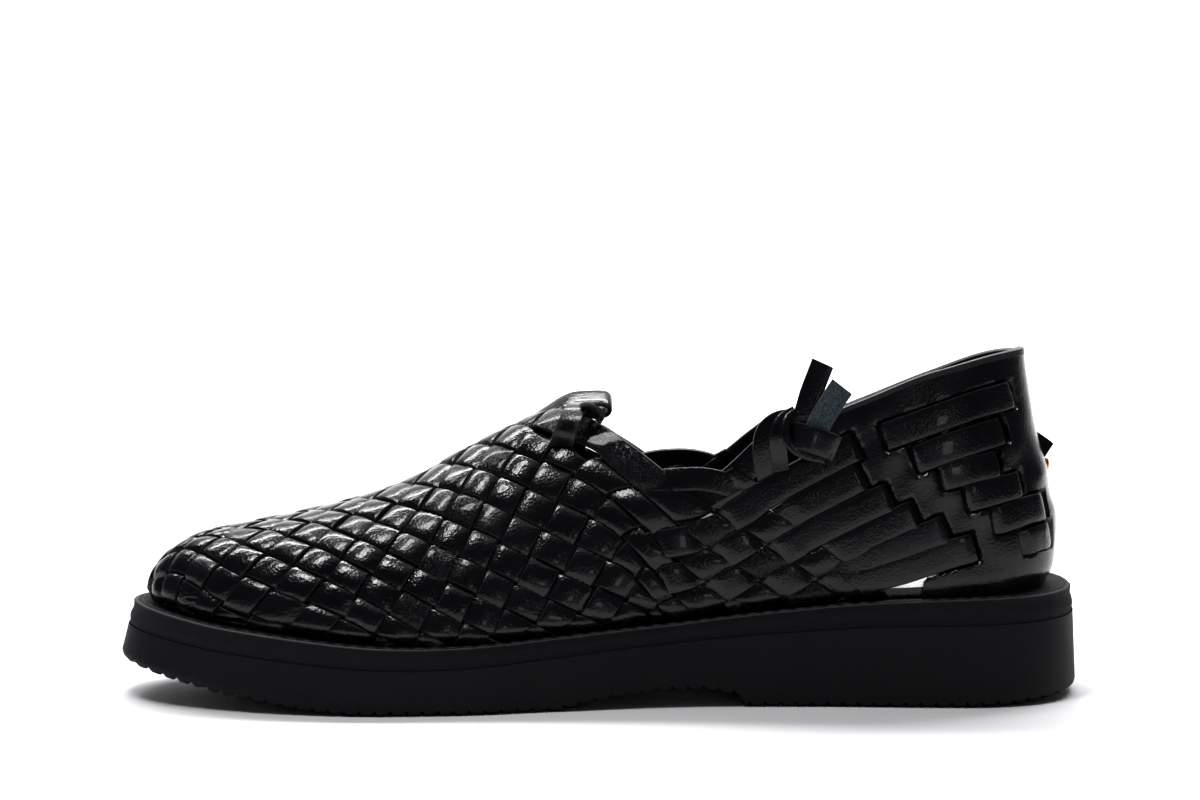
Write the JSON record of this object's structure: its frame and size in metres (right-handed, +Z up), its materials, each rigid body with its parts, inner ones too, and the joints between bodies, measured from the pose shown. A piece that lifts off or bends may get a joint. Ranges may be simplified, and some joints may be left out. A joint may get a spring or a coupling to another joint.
{
  "type": "huarache sandal",
  "caption": "Closed woven leather huarache, right shoe: woven strap vamp and quarter, laced heel counter, open collar, leather midsole band and thick ribbed rubber sole.",
  "frame": {"origin": "bottom centre of the shoe's box, on the floor under the arch", "axes": "-X to the toe, +X to the heel, -Y to the inner side of the foot, +Z up"},
  "size_m": [0.3, 0.1081, 0.108],
  "materials": {
    "rubber_sole": "matte black moulded rubber",
    "leather_edge": "rough dyed leather edge with stitched ledge",
    "leather_footbed": "smooth semi-gloss footbed leather",
    "leather_upper": "polished black strap leather",
    "leather_counter": "satin black leather with a raw edge",
    "leather_flesh": "fuzzy flesh side, blue-grey",
    "brass": "polished"
  },
  "bodies": {
    "root": {"outsole": "rubber_sole", "midsole": "leather_edge", "insole": "leather_footbed", "upper": "leather_upper", "heel_counter": "leather_counter", "throat_loop_back": "leather_upper", "throat_loop_front": "leather_upper", "tie_knot": "leather_upper", "tie_tail_dark": "leather_upper", "tie_tail_light": "leather_flesh", "back_tab": "leather_counter", "rivet": "brass"}
  },
  "joints": []
}
